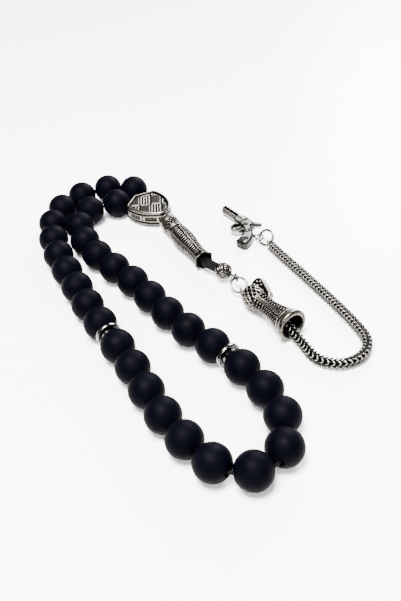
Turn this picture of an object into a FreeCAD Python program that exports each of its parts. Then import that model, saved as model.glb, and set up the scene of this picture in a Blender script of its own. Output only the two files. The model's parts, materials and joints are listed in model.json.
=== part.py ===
import FreeCAD, Part
import math
import os

Vector = FreeCAD.Vector
UP = Vector(0, 0, 1)

# All lengths are in millimetres. The string of beads lies flat on a table at z = 0, with the
# long way of its loop along Y. Headings are degrees from +X towards +Y, seen from above.

# Beads, and the cord that they turn on.
BEAD_D = 10.0
BEAD_HOLE_R = 1.0
BEAD_GAP = 0.08
CORD_R = 0.47
CORD_PLAY = 0.2
SPACER_T = 2.0
SPACER_R = 3.8
SPACER_RIM = 0.55
SPACERS_AFTER = (11, 22)

# Where the cord leaves the shield, and the way that each bead's hole points after that.
LOOP_START = (12.1, 61.2)
HEADINGS = (
    (126, 166, 195, 224, 251, 264, 269, 276, 273, 275, 278)
    + (279, 275, 272, 280, 284, 296, 346, 410, 442, 458, 465)
    + (473, 470, 463, 462, 465, 471, 464, 454, 437, 391, 327)
)

# Shield bead: a flat heater shield, its point towards the tail. The cord holds it off the table.
SHIELD_AT = (11.2, 51.25, 0.9)
SHIELD_HEADING = -67.0
SHIELD_T = 5.4
SHIELD_HALF_W = 6.7
SHIELD_CORNER = 5.4
SHIELD_PEAK = 8.6
SHIELD_SIDE = (5.9, -3.0)
SHIELD_FOOT = (2.2, -7.9)
SHIELD_POINT = -8.6
SHIELD_FACE = 0.8
SHIELD_FACE_DEPTH = 0.5
SHIELD_BORE_R = 1.85

# Tail: a bundle of six cords runs through the collar and the minaret bead to the knot ball.
TAIL_Z = 3.55
TAIL_START = (13.55, 41.5)
TAIL_HEADING = -84.5
SPLIT_INSIDE = 5.4
SPLIT_BEND_R = 5.0
COLLAR_L = 8.4
COLLAR_R = 3.15
MINARET_L = 19.2
TAIL_GAP = 0.15
MINARET_R = 3.5
TAIL_BORE_R = 2.15
STRAND_PITCH = 1.0
BEND_AFTER_MOUTH = 2.1
BEND_R = 6.0
BALL_AT = (19.65, 5.25)
BALL_R = 2.95
BALL_HEADING = -68.0
PIN_HOLE_R = 1.0
KNOT_R = 1.45

# Jump rings and wire loops.
WIRE_R = 0.35
LOOP_R = 1.1
RING_R = 2.55
RING_WIRE_R = 0.42

# Ring 1 hangs between the ball's pin and the bell's pin.
RING_1_AT = (21.3, -2.95, 2.95)
RING_1_HEADING = 85.0
RING_1_TILT = 30.0

# Bell cap: its mouth is turned away from the ball, and the chain comes out of it.
BELL_TOP = (21.7, -8.1, 3.85)
BELL_HEADING = -78.0
BELL_SLOPE = 2.8
BELL_L = 22.1
BELL_WALL = 0.7
BELL_HOLE_R = 1.3
BELL_PROFILE = (
    (0.0, 1.9), (1.1, 2.9), (2.6, 3.55), (4.2, 3.75), (6.2, 3.55), (8.2, 3.05),
    (10.8, 2.65), (14.0, 2.95), (17.4, 3.65), (20.0, 4.3), (20.7, 4.75), (BELL_L, 4.75),
)
SCROLL_T = 1.7
SCROLL_HEAD = (3.4, 2.9, 2.1)
SCROLL_TAIL = (2.6, 7.4, 1.3)
FERRULE_R = 2.0
FERRULE_FROM = 4.6
FERRULE_TO = 8.3

# Foxtail chain, from the ferrule to its end link: the descent, the turn and the way back.
CHAIN_R = 1.7
CHAIN_Z = 1.75
CHAIN_BEND_INSIDE = 15.0
CHAIN_ROUTE = (
    (27.0, -34.6), (26.8, -41.4), (31.8, -46.6), (39.0, -46.6), (43.7, -41.9),
    (44.2, -33.5), (43.3, -20.0), (42.0, -7.0), (40.65, 4.5), (39.85, 13.6),
)

# Ring 2 joins the chain to the charm.
RING_2_AT = (40.15, 16.8, 2.5)
RING_2_HEADING = 27.0
RING_2_TILT = 50.0
CHAIN_LINK_ANGLE = -33.4
CHARM_LOOP_ANGLE = 195.0
CHARM_LOOP_R = 1.3
CHARM_LOOP_SLACK = 0.05

# Pistol charm, in its own plane: x towards the muzzle, y towards the trigger.
CHARM_AT = (37.0, 30.0)
CHARM_HEADING = 104.0
CHARM_Z = 1.55
BARREL_R = 1.5
BARREL = (1.5, 11.6, -1.3)
ROD_R = 0.75
ROD = (1.5, 8.9, 0.75)
DRUM_R = 1.5
DRUM = (-1.8, 3.4, -1.0)
FRAME_T = 2.4
FRAME_OUTLINE = (
    (3.4, -3.1), (-2.6, -3.1), (-3.2, -1.4), (-6.0, -0.1), (-8.6, 1.2), (-10.6, 4.2),
    (-11.6, 7.6), (-6.6, 8.2), (-6.8, 5.6), (-5.0, 2.6), (-1.6, 1.6), (3.4, 1.6),
)
GUARD_AT = (-2.6, 3.5)
GUARD_R = 2.5
GUARD_W = 0.8
GUARD_T = 1.6
HAMMER_OUTLINE = ((-2.4, -1.4), (-2.4, -3.0), (-5.4, -4.7), (-5.9, -4.2), (-4.2, -2.6),
                  (-3.9, -1.2))
HAMMER_T = 1.5
TRIGGER_OUTLINE = ((-1.6, 1.4), (-2.9, 2.0), (-2.9, 3.6), (-2.2, 4.4), (-2.3, 3.4))
TRIGGER_T = 1.0
ARM_FROM = (-7.8, 1.9)
ARM_R = 0.55


def heading(degrees):
    """Unit vector in the plane of the table."""
    turn = math.radians(degrees)
    return Vector(math.cos(turn), math.sin(turn), 0)


def placed(shape, at, along):
    """Move a shape made about +Z to a point, with +Z turned to a direction."""
    moved = shape.copy()
    moved.Placement = FreeCAD.Placement(at, FreeCAD.Rotation(UP, along))
    return moved


def turned(profile):
    """Solid of revolution about +Z from (height, radius) pairs, joined by straight lines."""
    points = [Vector(radius, 0, height) for height, radius in profile]
    face = Part.Face(Part.makePolygon(points + [points[0]]))
    return face.revolve(Vector(), UP, 360)


def rod(start, end, radius):
    return Part.makeCylinder(radius, (end - start).Length, start, end - start)


def ring(centre, normal, radius, wire_radius):
    return Part.makeTorus(radius, wire_radius, centre, normal)


def turn_at(points, index):
    """Angle in radians by which a route turns at one of its points."""
    before = points[index] - points[index - 1]
    after = points[index + 1] - points[index]
    return before.getAngle(after)


def run_radii(points):
    """Arc radii as large as the runs beside each point allow."""
    radii = []
    for i in range(1, len(points) - 1):
        shorter = min((points[i] - points[i - 1]).Length, (points[i + 1] - points[i]).Length)
        radii.append(0.45 * shorter / math.tan(turn_at(points, i) / 2))
    return radii


def centreline(points, radii):
    """Wire of straight runs joined by tangent arcs, one radius for each inner point."""
    edges = []
    last = points[0]
    for i, radius in enumerate(radii, start=1):
        back = (points[i - 1] - points[i]).normalize()
        on = (points[i + 1] - points[i]).normalize()
        half = turn_at(points, i) / 2
        start = points[i] + back * (radius * math.tan(half))
        end = points[i] + on * (radius * math.tan(half))
        middle = points[i] + (back + on).normalize() * (radius / math.cos(half) - radius)
        edges.append(Part.LineSegment(last, start).toShape())
        edges.append(Part.Arc(start, middle, end).toShape())
        last = end
    edges.append(Part.LineSegment(last, points[-1]).toShape())
    return Part.Wire(edges)


def tube(points, radii, radius):
    """Round cord along a route."""
    path = centreline(points, radii)
    section = Part.Wire(Part.makeCircle(radius, points[0], points[1] - points[0]))
    return path.makePipeShell([section], True, False)


def report_cord(name, solid, points, radii, radius):
    """Print a cord's radii, and how its volume compares with section times length."""
    length = centreline(points, radii).Length
    ratio = solid.Volume / (math.pi * radius**2 * length)
    print(f"{name}: length {length:.1f} mm, volume over section times length {ratio:.4f}")
    print(f"  arc radii {', '.join(f'{r:.1f}' for r in radii)}")


def save(name, shape):
    shape.exportStep(f"parts/{name}.step")


# ---- the loop of beads -------------------------------------------------------------


def walk_the_loop():
    """Centres of the beads and spacers, and the corners of the cord between them."""
    half = (BEAD_D + BEAD_GAP) / 2
    corner = Vector(*LOOP_START, BEAD_D / 2)
    corners = [corner]
    beads = []
    spacers = []
    turn_in = 0.0
    for number, degrees in enumerate(HEADINGS, start=1):
        along = heading(degrees)
        last = number == len(HEADINGS)
        turn_out = 0.0 if last else math.radians(HEADINGS[number] - degrees) / 2
        centre = corner + along * (half / math.cos(turn_in))
        beads.append((centre, along))
        if number in SPACERS_AFTER:
            spacers.append((centre + along * (half + SPACER_T / 2), along))
            corner = centre + along * (2 * half + SPACER_T - BEAD_D / 2 + BEAD_GAP / 2)
            turn_in = 0.0
        else:
            corner = centre + along * (half / math.cos(turn_out))
            turn_in = turn_out
        corners.append(corner)
    return beads, spacers, corners


def bead():
    ball = Part.makeSphere(BEAD_D / 2)
    hole = Part.makeCylinder(BEAD_HOLE_R, BEAD_D, Vector(0, 0, -BEAD_D / 2))
    return ball.cut(hole)


def spacer():
    """Polished disc with a hub, a thin web and a rounded rim."""
    hub, web, rim, round_off = SPACER_T / 2, 0.35, 0.65, 0.25
    rim_from = SPACER_R - SPACER_RIM
    half = (
        (web, 1.9), (web, rim_from - 0.3), (rim, rim_from), (rim, SPACER_R - round_off),
        (rim - round_off, SPACER_R),
    )
    upper = ((hub, BEAD_HOLE_R), (hub, 1.5)) + half
    lower = [(-height, radius) for height, radius in reversed(upper)]
    return turned(list(upper) + lower)


# ---- shield bead -------------------------------------------------------------------


def shield_wire(scale, height):
    """Outline with two straight top edges to a peak, and curved sides to a blunt point."""
    def at(across, along):
        return Vector(across * scale, along * scale, height)

    left, right = at(-SHIELD_HALF_W, SHIELD_CORNER), at(SHIELD_HALF_W, SHIELD_CORNER)
    side_left, side_right = at(-SHIELD_SIDE[0], SHIELD_SIDE[1]), at(*SHIELD_SIDE)
    foot_left, foot_right = at(-SHIELD_FOOT[0], SHIELD_FOOT[1]), at(*SHIELD_FOOT)
    peak, point = at(0, SHIELD_PEAK), at(0, SHIELD_POINT)
    return Part.Wire([
        Part.LineSegment(left, peak).toShape(),
        Part.LineSegment(peak, right).toShape(),
        Part.Arc(right, side_right, foot_right).toShape(),
        Part.Arc(foot_right, point, foot_left).toShape(),
        Part.Arc(foot_left, side_left, left).toShape(),
    ])


def shield(channels):
    """Shield with a swelling side wall, a sunk face and the cords' channels through it."""
    bevel = 1.1
    edge = ((0.94, 0.0), (0.99, bevel), (1.0, SHIELD_T / 2), (0.99, SHIELD_T - bevel),
            (0.96, SHIELD_T))
    body = Part.makeLoft([shield_wire(scale, z) for scale, z in edge], True, True)
    face = Part.Face(shield_wire(SHIELD_FACE, SHIELD_T - SHIELD_FACE_DEPTH))
    body = body.cut(face.extrude(UP * SHIELD_T)).Solids[0]
    body.Placement = FreeCAD.Placement(
        Vector(*SHIELD_AT), FreeCAD.Rotation(UP, SHIELD_HEADING + 90)
    )
    for channel in channels:
        body = body.cut(channel)
    return body


# ---- tail ----------------------------------------------------------------------------


def tail_line():
    """Points of the tail's centreline: the split in the shield, the bend and the ball."""
    along = heading(TAIL_HEADING)
    start = Vector(*TAIL_START, TAIL_Z)
    mouth = start + along * (COLLAR_L + TAIL_GAP + MINARET_L)
    bend = mouth + along * BEND_AFTER_MOUTH
    ball = Vector(*BALL_AT, TAIL_Z)
    split = start - along * SPLIT_INSIDE
    end = ball + (bend - ball).normalize() * (KNOT_R - 0.4)
    return split, bend, end


def strand(line, across, rise):
    """Points of one cord of the bundle, moved sideways and up from the centreline."""
    split, bend, end = line
    first = (bend - split).normalize()
    second = (end - bend).normalize()
    left_first, left_second = UP.cross(first), UP.cross(second)
    half = first.getAngle(second) / 2
    lift = UP * rise
    left_bend = (left_first + left_second).normalize() / math.cos(half)
    return [
        split + left_first * across + lift,
        bend + left_bend * across + lift,
        end + left_second * across + lift,
    ]


def collar():
    """Ribbed barrel, here with its two end bands and its bore."""
    band, half_l = 1.1, COLLAR_L / 2
    profile = (
        (-half_l, TAIL_BORE_R), (-half_l, COLLAR_R - 0.2), (-half_l + 0.2, COLLAR_R),
        (-half_l + band, COLLAR_R), (-half_l + band + 0.2, COLLAR_R - 0.25),
        (half_l - band - 0.2, COLLAR_R - 0.25), (half_l - band, COLLAR_R),
        (half_l - 0.2, COLLAR_R), (half_l, COLLAR_R - 0.2), (half_l, TAIL_BORE_R),
    )
    return turned(profile)


def minaret():
    """Long bead with a swelling shoulder, a waist and a flared mouth at its far end."""
    profile = (
        (0.0, TAIL_BORE_R), (0.0, 2.75), (0.7, 3.1), (2.6, 3.4), (5.2, MINARET_R),
        (8.0, 3.3), (11.5, 2.85), (15.5, 2.65), (18.6, 2.75), (MINARET_L - 0.5, 2.95),
        (MINARET_L, 2.9), (MINARET_L, TAIL_BORE_R + 0.25), (MINARET_L - 1.0, TAIL_BORE_R),
    )
    return turned(profile)


def knot_ball(centre, along):
    """Ball with a wide bore for the bundle and its knot, and a small hole for the pin."""
    depth = KNOT_R + 0.25
    ball = Part.makeSphere(BALL_R, centre)
    bore = rod(centre + along * depth, centre - along * 2 * BALL_R, TAIL_BORE_R)
    pin_hole = rod(centre, centre + along * 2 * BALL_R, PIN_HOLE_R)
    return ball.cut(bore).cut(pin_hole)


def eye_pin(start, loop_centre, loop_normal):
    """Wire pin that ends in a round loop."""
    towards = (loop_centre - start).normalize()
    shank = rod(start, loop_centre - towards * LOOP_R, WIRE_R)
    return shank.fuse(ring(loop_centre, loop_normal, LOOP_R, WIRE_R)).removeSplitter()


# ---- rings, bell and chain -----------------------------------------------------------


def ring_axes(degrees, tilt):
    """Sideways, uphill and normal directions of a tilted ring."""
    uphill = heading(degrees) * math.cos(math.radians(tilt)) + UP * math.sin(math.radians(tilt))
    sideways = heading(degrees - 90)
    return sideways, uphill, sideways.cross(uphill)


def on_ring(centre, axes, degrees):
    """Point on a ring's wire and the wire's direction there."""
    sideways, uphill, _ = axes
    c, s = math.cos(math.radians(degrees)), math.sin(math.radians(degrees))
    return centre + (sideways * c + uphill * s) * RING_R, uphill * c - sideways * s


def scroll_blank():
    """Flat scroll on the bell's side: a round head and a narrower tail down the waist."""
    ends = []
    corners = []
    for (out, height, radius), side in ((SCROLL_HEAD, 1), (SCROLL_TAIL, -1)):
        at = Vector(out, -SCROLL_T / 2, height)
        ends.append(Part.makeCylinder(radius, SCROLL_T, at, Vector(0, 1, 0)))
        corners += [at + Vector(side * radius, 0, 0), at - Vector(side * radius, 0, 0)]
    between = Part.Face(Part.makePolygon(corners + [corners[0]]))
    return ends[0].multiFuse([ends[1], between.extrude(Vector(0, SCROLL_T, 0))])


def bell_axis():
    slope = math.radians(BELL_SLOPE)
    return heading(BELL_HEADING) * math.cos(slope) + UP * math.sin(slope)


def bell_cap(top, along):
    """Hollow cap: a round shoulder, a waist and a flared mouth, with a scroll on its side."""
    inner = [(height, radius - BELL_WALL) for height, radius in BELL_PROFILE[2:]]
    profile = list(BELL_PROFILE) + inner[::-1] + [(1.0, BELL_HOLE_R), (0.0, BELL_HOLE_R)]
    shell = turned(profile)
    cavity = turned(inner + [(BELL_L, 0.0), (inner[0][0], 0.0)])
    scroll = scroll_blank()
    core = Part.makeCylinder(BELL_HOLE_R + 0.3, BELL_L)
    cap = shell.fuse(scroll.cut(cavity).cut(core)).removeSplitter()
    rotation = FreeCAD.Rotation(bell_side(along), along.cross(bell_side(along)), along, "ZXY")
    cap.Placement = FreeCAD.Placement(top, rotation)
    return cap


def bell_side(along):
    """Direction from the bell's axis to its scroll: half up, half to the right."""
    right = along.cross(UP).normalize() * -1
    up = along.cross(right).normalize()
    if up.z < 0:
        up = up * -1
    return (right + up).normalize()


def bell_pin(top, along, loop_centre, loop_normal):
    """Pin from the ferrule out of the bell's top, bent down to its loop."""
    inside = top + along * FERRULE_FROM
    knee = top - along * 0.4
    towards = (loop_centre - knee).normalize()
    end = loop_centre - towards * LOOP_R
    points = [inside, knee, end]
    shank = tube(points, [WIRE_R * 1.6], WIRE_R)
    return shank.fuse(ring(loop_centre, loop_normal, LOOP_R, WIRE_R)).removeSplitter()


def chain_points(top, along):
    start = top + along * FERRULE_TO
    bend = top + along * CHAIN_BEND_INSIDE
    return [start, bend] + [Vector(x, y, CHAIN_Z) for x, y in CHAIN_ROUTE]


# ---- charm -----------------------------------------------------------------------------


def plate(outline, thickness):
    points = [Vector(x, y, -thickness / 2) for x, y in outline]
    return Part.Face(Part.makePolygon(points + [points[0]])).extrude(UP * thickness)


def bar(span, radius):
    start, end, side = span
    return rod(Vector(start, side, 0), Vector(end, side, 0), radius)


def trigger_guard():
    outer = Part.makeCylinder(GUARD_R, GUARD_T, Vector(*GUARD_AT, -GUARD_T / 2))
    inner = Part.makeCylinder(GUARD_R - GUARD_W, GUARD_T, Vector(*GUARD_AT, -GUARD_T / 2))
    return outer.cut(inner)


def pistol_charm(ring_point):
    """Small cast pistol in one piece, with a hanging loop behind its grip."""
    solid = plate(FRAME_OUTLINE, FRAME_T)
    solid = solid.cut(Part.makeCylinder(GUARD_R - GUARD_W, 9, Vector(*GUARD_AT, -4.5)))
    pieces = (
        trigger_guard(), bar(BARREL, BARREL_R), bar(ROD, ROD_R), bar(DRUM, DRUM_R),
        plate(HAMMER_OUTLINE, HAMMER_T), plate(TRIGGER_OUTLINE, TRIGGER_T),
    )
    for piece in pieces:
        solid = solid.fuse(piece)
    solid.Placement = FreeCAD.Placement(
        Vector(*CHARM_AT, CHARM_Z), FreeCAD.Rotation(UP, CHARM_HEADING)
    )
    start = solid.Placement.multVec(Vector(*ARM_FROM, 0))
    towards = start - ring_point
    towards = (towards - UP * towards.z).normalize()
    loop_centre = ring_point + towards * CHARM_LOOP_SLACK
    arm = rod(start, loop_centre + towards * CHARM_LOOP_R, ARM_R)
    loop = ring(loop_centre, UP, CHARM_LOOP_R, WIRE_R)
    return solid.multiFuse([arm, loop]).removeSplitter()


# ---- sub-assemblies -------------------------------------------------------------------


def make_beads(beads, spacers):
    for number, (centre, along) in enumerate(beads, start=1):
        save(f"bead_{number:02d}", placed(bead(), centre, along))
    for number, (centre, along) in enumerate(spacers, start=1):
        save(f"spacer_ring_{number}", placed(spacer(), centre, along))


def make_cords(corners):
    """Bead cord from ball to ball through every bead, and the four cords that join it."""
    line = tail_line()
    row = STRAND_PITCH / 2
    out = strand(line, STRAND_PITCH, row)
    back = strand(line, -STRAND_PITCH, row)
    route = out[::-1] + corners + back
    radii = run_radii(route)
    radii[0] = BEND_R - STRAND_PITCH
    radii[-1] = BEND_R + STRAND_PITCH
    radii[1] = radii[-2] = SPLIT_BEND_R
    radii[2:-2] = [min(r, room) for r, room in zip(radii[2:-2], bead_radii(route))]
    bead_cord = tube(route, radii, CORD_R)
    report_cord("bead_cord", bead_cord, route, radii, CORD_R)
    save("bead_cord", bead_cord)

    places = ((0, row), (STRAND_PITCH, -row), (0, -row), (-STRAND_PITCH, -row))
    strands = [strand(line, across, rise) for across, rise in places]
    hanger = [
        tube(points, [BEND_R - across], CORD_R)
        for points, (across, _) in zip(strands, places)
    ]
    report_cord("hanger_cord", hanger[2], strands[2], [BEND_R], CORD_R)
    save("hanger_cord", Part.makeCompound(hanger))
    split, bend, end = line
    knot = split + (split - bend).normalize() * (KNOT_R - 0.25)
    save("hanger_knot", Part.makeSphere(KNOT_R, knot))
    return route, knot


def bead_radii(route):
    """Largest arc at each corner between beads that stays clear of the holes' walls."""
    play = BEAD_HOLE_R - CORD_R - CORD_PLAY
    mouth = math.sqrt((BEAD_D / 2) ** 2 - BEAD_HOLE_R**2)
    radii = []
    for i in range(3, len(route) - 3):
        slope = math.tan(turn_at(route, i) / 2)
        free = (BEAD_D + BEAD_GAP) / 2 * math.sqrt(1 + slope**2) - mouth
        reach = free * slope + play
        radii.append((reach + math.sqrt(reach**2 - (slope * free) ** 2)) / slope**2)
    return radii


def make_shield(route, knot):
    """Shield, bored for the bundle and its knot, and for the two ends of the bead cord."""
    along = heading(TAIL_HEADING)
    start = Vector(*TAIL_START, TAIL_Z)
    channels = [
        rod(start + along * SHIELD_BORE_R, knot - along * (KNOT_R + 0.3), SHIELD_BORE_R),
        rod(route[2], route[3], BEAD_HOLE_R),
        rod(route[-3], route[-4], BEAD_HOLE_R),
    ]
    save("shield_bead", shield(channels))


def make_tail():
    along = heading(TAIL_HEADING)
    start = Vector(*TAIL_START, TAIL_Z)
    save("imame_collar", placed(collar(), start + along * (COLLAR_L / 2), along))
    save("imame_minaret", placed(minaret(), start + along * (COLLAR_L + TAIL_GAP), along))


def make_ball_and_bell():
    ball_centre = Vector(*BALL_AT, TAIL_Z)
    ring_centre = Vector(*RING_1_AT)
    axes = ring_axes(RING_1_HEADING, RING_1_TILT)
    eye, eye_normal = on_ring(ring_centre, axes, 90)
    low, low_normal = on_ring(ring_centre, axes, 270)
    save("knot_ball", knot_ball(ball_centre, heading(BALL_HEADING)))
    save("end_knot", Part.makeSphere(KNOT_R, ball_centre))
    pin_start = ball_centre + (eye - ball_centre).normalize() * (KNOT_R - 0.3)
    save("ball_pin", eye_pin(pin_start, eye, eye_normal))
    save("jump_ring_1", ring(ring_centre, axes[2], RING_R, RING_WIRE_R))

    top = Vector(*BELL_TOP)
    along = bell_axis()
    save("bell_cap", bell_cap(top, along))
    save("bell_pin", bell_pin(top, along, low, low_normal))
    save("chain_ferrule", rod(top + along * FERRULE_FROM, top + along * FERRULE_TO, FERRULE_R))
    points = chain_points(top, along)
    radii = run_radii(points)
    chain = tube(points, radii, CHAIN_R)
    report_cord("tassel_chain", chain, points, radii, CHAIN_R)
    save("tassel_chain", chain)


def make_charm():
    ring_centre = Vector(*RING_2_AT)
    axes = ring_axes(RING_2_HEADING, RING_2_TILT)
    save("jump_ring_2", ring(ring_centre, axes[2], RING_R, RING_WIRE_R))
    link, link_normal = on_ring(ring_centre, axes, CHAIN_LINK_ANGLE)
    save("chain_end_link", ring(link, link_normal, LOOP_R, WIRE_R))
    ring_point, _ = on_ring(ring_centre, axes, CHARM_LOOP_ANGLE)
    save("pistol_charm", pistol_charm(ring_point))


def main():
    os.makedirs("parts", exist_ok=True)
    beads, spacers, corners = walk_the_loop()
    make_beads(beads, spacers)
    route, knot = make_cords(corners)
    make_shield(route, knot)
    make_tail()
    make_ball_and_bell()
    make_charm()


if __name__ == "__main__":
    main()
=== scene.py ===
"""Prayer beads of matte black stone with an antique silver tail, on a plain white table."""

import json
import math

import bmesh
import bpy
import numpy as np
from mathutils import Matrix, Vector


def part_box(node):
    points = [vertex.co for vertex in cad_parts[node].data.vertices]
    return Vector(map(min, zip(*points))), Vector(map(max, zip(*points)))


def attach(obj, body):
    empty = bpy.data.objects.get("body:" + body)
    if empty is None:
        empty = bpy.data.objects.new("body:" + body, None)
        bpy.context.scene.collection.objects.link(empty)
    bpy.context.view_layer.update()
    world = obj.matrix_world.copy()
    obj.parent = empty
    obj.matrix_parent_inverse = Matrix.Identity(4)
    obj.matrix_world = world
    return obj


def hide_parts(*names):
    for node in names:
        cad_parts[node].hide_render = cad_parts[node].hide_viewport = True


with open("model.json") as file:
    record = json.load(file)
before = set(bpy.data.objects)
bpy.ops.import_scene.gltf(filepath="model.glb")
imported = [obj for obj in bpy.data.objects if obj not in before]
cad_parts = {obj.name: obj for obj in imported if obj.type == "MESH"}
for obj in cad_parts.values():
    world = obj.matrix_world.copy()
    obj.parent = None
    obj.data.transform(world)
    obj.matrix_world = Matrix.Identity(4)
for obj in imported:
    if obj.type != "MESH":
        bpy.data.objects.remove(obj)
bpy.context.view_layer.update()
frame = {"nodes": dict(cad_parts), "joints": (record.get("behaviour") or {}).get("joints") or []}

# All lengths are in millimetres and in the CAD frame, until a mesh is made in metres.
MM = 0.001
UP = np.array((0.0, 0.0, 1.0))
TURN = 2 * math.pi

# Camera: its place, its heading clockwise from +Y, its pitch below level and its roll.
CAMERA_AT = (-46.0, -170.0, 144.68)
CAMERA_HEADING = 18.0
CAMERA_PITCH = 39.153
CAMERA_ROLL = -6.115
CAMERA_LENS = 44.24

# Chain: the points of its route from the ferrule on, then its links.
CHAIN_RUN = (8.3, 15.0)
CHAIN_ROUTE = (
    (27.0, -34.6), (26.8, -41.4), (31.8, -46.6), (39.0, -46.6), (43.7, -41.9),
    (44.2, -33.5), (43.3, -20.0), (42.0, -7.0), (40.65, 4.5), (39.85, 13.6),
)
CHAIN_Z = 1.75
CHAIN_R = 1.7
CHAIN_STEP = 0.4
CORE_GAP = 0.25
LINK_COLUMNS = 4
LINK_PITCH = 1.45
LINK_REACH = 1.75
LINK_SPREAD = 0.9
LINK_WIRE = 0.25
LINK_DIVE = 0.62
LINK_ENDS = (0.2, 0.3)
LINK_POINTS = 13

# Beads and spacers.
BEAD_R = 5.0
BEAD_HOLE = 1.0
BEAD_CHAMFER = 0.22
SPACER_HALF = (
    (1.0, 1.0), (1.0, 1.5), (0.35, 1.95), (0.22, 2.4), (0.3, 2.85), (0.62, 3.1),
    (0.75, 3.35), (0.68, 3.6), (0.4, 3.78), (0.0, 3.82),
)

# Shield: its outline, from the peak round by the left side, and its side wall from the back up,
# as (distance inside the outline, height, tone).
SHIELD_HEADING = -67.0
SHIELD_PEAK = 9.3
SHIELD_CORNER = (-6.8, 6.0)
SHIELD_SIDE = (-6.0, -3.0)
SHIELD_FOOT = (-2.3, -7.9)
SHIELD_POINT = -8.6
SHIELD_POINTS = 288
SHIELD_ROUNDING = 2
SHIELD_WALL = (
    (1.45, 0.5, 0.0), (1.2, 0.12, 0.6), (1.0, 0.0, 0.9), (0.6, 0.0, 0.9), (0.3, 0.12, 0.9),
    (0.14, 0.45, 0.9), (0.2, 0.8, 0.7), (0.5, 1.0, 0.0), (0.5, 1.2, 0.0), (0.16, 1.4, 0.8),
    (0.0, 1.65, 0.9), (0.04, 1.9, 0.8), (0.02, 2.15, 0.8), (0.0, 2.4, 0.8), (0.0, 2.65, 0.8),
    (0.0, 2.9, 0.8), (0.02, 3.15, 0.8), (0.04, 3.4, 0.8), (0.02, 3.65, 0.9), (0.2, 3.85, 0.8),
    (0.55, 4.0, 0.0), (0.55, 4.2, 0.0), (0.22, 4.4, 0.7), (0.14, 4.75, 0.95), (0.24, 5.1, 0.9),
    (0.42, 5.32, 0.9), (0.65, 5.4, 0.9), (0.9, 5.36, 0.9), (1.08, 5.2, 0.8), (1.16, 4.85, 0.1),
    (1.2, 4.5, 0.0),
)
BAND_LOW, BAND_HIGH = 1.8, 3.5
BAND_DEPTH = 0.3
PANELS = 8
PANEL_STUDS = 6

# The shield's woven face: a crossing of its grid, the grid's turn, its cells and their bars.
WEAVE_AT = (-0.43, -0.3)
WEAVE_TURN = 49.0
WEAVE_CELL = (6.2, 3.9)
WEAVE_BARS = 4
WEAVE_BAR = 0.23
WEAVE_DIVIDER = 0.2
WEAVE_BORDER = 0.2
WEAVE_CLEAR = 0.32
WEAVE_STEP = 0.13
FACE_HALF = 9.4
FACE_TOP = 5.12
FACE_DEPTH = 0.42
FACE_UNDER_RIM = 0.9
FACE_GROOVE = 1.55

# Collar and minaret bead, as (height, radius) from the shield's end, and the rope-knot ball.
COLLAR_PROFILE = ((0.05, 2.85), (0.5, 3.2), (3.6, 3.2), (6.0, 3.1), (8.0, 3.0), (8.4, 2.75))
COLLAR_BAND = 2.7
COLLAR_RINGS = ((3.2, 0.3), (7.0, 0.3), (7.85, 0.4))
COLLAR_ROWS = (4.1, 5.05, 6.0)
COLLAR_DASHES = 14
COLLAR_DEPTH = 0.5
TAIL_BORE = 2.15
MINARET_PROFILE = (
    (0.0, 2.7), (0.7, 3.08), (2.6, 3.38), (5.2, 3.48), (8.0, 3.28), (11.5, 2.85), (15.5, 2.65),
    (17.8, 2.78), (18.8, 3.0), (19.6, 3.25), (19.8, 3.1),
)
MINARET_SIDES = 6
MINARET_PHASE = 0.03
MINARET_RIB = 1.0
MINARET_LADDER = (1.6, 17.9)
MINARET_CORNERS = (16.5, 3.0, 0.26)
MINARET_DEPTH = 0.45
BALL_R = 2.95
BALL_PATCHES = 5
BALL_STRANDS = 3
BALL_DEPTH = 0.45
BALL_OPENING = 20.0
KNOT_HEADING = 20.0
KNOT_TURNS = 3
KNOT_DEPTH = 0.22

# Bell: outside, mouth and wall, then its wicker bulb, its waist, its rims and its scroll, whose
# circles are (distance out, height, radius).
BELL_PROFILE = (
    (0.0, 1.9), (1.1, 2.9), (2.6, 3.55), (4.2, 3.75), (6.2, 3.55), (8.2, 3.05), (10.8, 2.65),
    (14.0, 2.95), (17.4, 3.65), (20.0, 4.3), (20.7, 4.7), (21.4, 4.8), (21.9, 4.6), (22.15, 4.2),
)
BELL_MOUTH = ((22.15, 3.65), (21.85, 3.4), (21.3, 3.3), (18.8, 3.2))
BELL_WALL = 0.7
BELL_HOLE = 1.3
BULB_END = 6.6
BULB_HOLES = 15
BULB_PITCH = 2.5
WICKER = 0.19
WAIST_END = 18.3
WAIST_SIDES = 5
WAIST_RAILS = (0.10, 0.30)
WAIST_RAIL = 0.08
SCALES_FROM = 0.42
SCALE_PITCH = 1.05
RIM_AT = 18.95
LIP_FROM = 19.85
BELL_DEPTH = 0.5
SCROLL_T = 2.2
SCROLL_HEAD = (3.5, 3.1, 2.5)
SCROLL_TAIL = (2.6, 8.0, 1.6)
SCROLL_BORDER = 0.9
SCROLL_SUNK = 0.3
SCROLL_GRAINS = 7
SCROLL_TAIL_GRAINS = (0.5, 0.68, 0.86, 1.04)

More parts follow.
